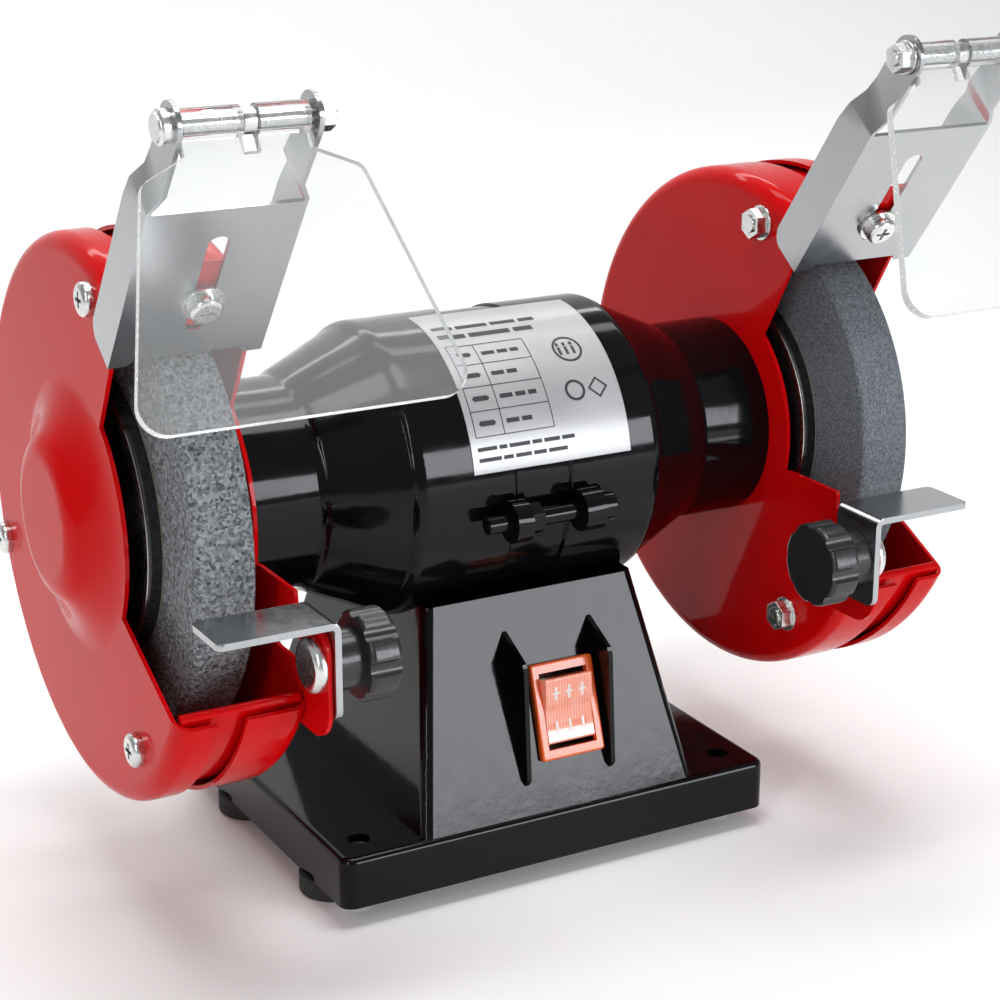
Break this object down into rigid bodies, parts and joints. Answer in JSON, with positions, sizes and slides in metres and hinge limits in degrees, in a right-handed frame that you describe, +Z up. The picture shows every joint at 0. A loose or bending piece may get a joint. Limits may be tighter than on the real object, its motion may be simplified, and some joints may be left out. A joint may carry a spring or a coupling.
{
  "type": "bench grinder",
  "caption": "Double-ended bench grinder with guarded abrasive wheels, sliding tool rests, hinged clear eye shields and a rocker switch on a box base.",
  "frame": {"origin": "on the bench plane (undersides of the feet), below the centre of the four mounting holes", "axes": "+X along the spindle to the right wheel as the user sees it, -Y to the user, +Z up"},
  "size_m": [0.2874, 0.1956, 0.2379],
  "materials": {
    "black_paint": "gloss",
    "red_paint": "gloss",
    "zinc_sheet": "galvanised",
    "zinc": "bright zinc",
    "steel": "ground",
    "black_rubber": "matte",
    "capacitor_can": "satin",
    "white_plastic": "matte",
    "orange_plastic": "gloss",
    "black_plastic": "satin",
    "clear_cap": "translucent",
    "copper": "varnished wire",
    "label_film": "satin silver",
    "coarse_abrasive": "coarse grit",
    "fine_abrasive": "fine grit",
    "black_flange": "satin",
    "card": "matte card",
    "clear_shield": "clear polycarbonate"
  },
  "bodies": {
    "housing": {"base_housing": "black_paint", "bottom_plate": "zinc_sheet", "rubber_feet": "black_rubber", "feet_screws": "zinc", "feet_nuts": "zinc", "cable_grommet": "black_rubber", "run_capacitor": "capacitor_can", "capacitor_strap": "zinc_sheet", "terminal_block": "white_plastic", "switch_bezel": "orange_plastic", "switch_body": "black_plastic", "left_motor_bell": "black_paint", "right_motor_bell": "black_paint", "stator_core": "black_paint", "stator_windings": "copper", "shaft_bearings": "steel", "motor_bolts": "black_paint", "motor_nuts": "black_paint", "rating_label": "label_film", "left_guard_inner": "red_paint", "left_guard_strip": "red_paint", "left_guard_cover": "red_paint", "right_guard_inner": "red_paint", "right_guard_strip": "red_paint", "right_guard_cover": "red_paint", "guard_bolts": "zinc", "guard_washers": "zinc", "guard_nuts": "zinc", "neck_screws": "zinc", "clamp_screws": "zinc", "clamp_washers": "zinc", "clamp_nuts": "zinc"},
    "spindle": {"spindle_shaft": "steel", "rotor_core": "steel", "cooling_fan": "white_plastic", "left_wheel": "coarse_abrasive", "right_wheel": "fine_abrasive", "left_inner_flange": "black_flange", "left_outer_flange": "black_flange", "right_inner_flange": "black_flange", "right_outer_flange": "black_flange", "blotters": "card", "arbor_nuts": "zinc"},
    "rocker": {"switch_rocker": "clear_cap"},
    "left_rest": {"left_tool_rest": "zinc_sheet", "left_rest_bolt": "zinc"},
    "left_knob": {"left_rest_knob": "black_plastic"},
    "left_bracket": {"left_shield_bracket": "zinc_sheet", "left_hinge_bolt": "zinc", "left_hinge_nut": "zinc", "left_hinge_collar": "zinc"},
    "left_shield": {"left_eye_shield": "clear_shield"},
    "right_rest": {"right_tool_rest": "zinc_sheet", "right_rest_bolt": "zinc"},
    "right_knob": {"right_rest_knob": "black_plastic"},
    "right_bracket": {"right_shield_bracket": "zinc_sheet", "right_hinge_bolt": "zinc", "right_hinge_nut": "zinc", "right_hinge_collar": "zinc"},
    "right_shield": {"right_eye_shield": "clear_shield"}
  },
  "joints": [
    {"name": "spindle_spin", "type": "hinge", "parent": "housing", "child": "spindle", "pos_m": [0, 0, 0.1135], "axis": [1, 0, 0], "continuous": true},
    {"name": "rocker_tilt", "type": "hinge", "parent": "housing", "child": "rocker", "pos_m": [0.0052, -0.04183, 0.04659], "axis": [1, 0, 0], "range_deg": [-9, 0]},
    {"name": "left_rest_slide", "type": "slide", "parent": "housing", "child": "left_rest", "axis": [0, 1, 0], "range_m": [-0.0013, 0.0028]},
    {"name": "left_knob_turn", "type": "hinge", "parent": "left_rest", "child": "left_knob", "pos_m": [-0.075, -0.0766, 0.09], "axis": [-1, 0, 0], "range_deg": [-90, 90]},
    {"name": "left_bracket_slide", "type": "slide", "parent": "housing", "child": "left_bracket", "axis": [0, -0.5948, 0.8039], "range_m": [-0.002, 0.008]},
    {"name": "left_shield_tilt", "type": "hinge", "parent": "left_bracket", "child": "left_shield", "pos_m": [-0.1035, -0.08233, 0.22872], "axis": [1, 0, 0], "range_deg": [-100, 5]},
    {"name": "right_rest_slide", "type": "slide", "parent": "housing", "child": "right_rest", "axis": [0, 1, 0], "range_m": [-0.0013, 0.0028]},
    {"name": "right_knob_turn", "type": "hinge", "parent": "right_rest", "child": "right_knob", "pos_m": [0.075, -0.0766, 0.09], "axis": [1, 0, 0], "range_deg": [-90, 90]},
    {"name": "right_bracket_slide", "type": "slide", "parent": "housing", "child": "right_bracket", "axis": [0, -0.5948, 0.8039], "range_m": [-0.006, 0.004]},
    {"name": "right_shield_tilt", "type": "hinge", "parent": "right_bracket", "child": "right_shield", "pos_m": [0.1035, -0.08471, 0.23194], "axis": [1, 0, 0], "range_deg": [-100, 5]}
  ]
}
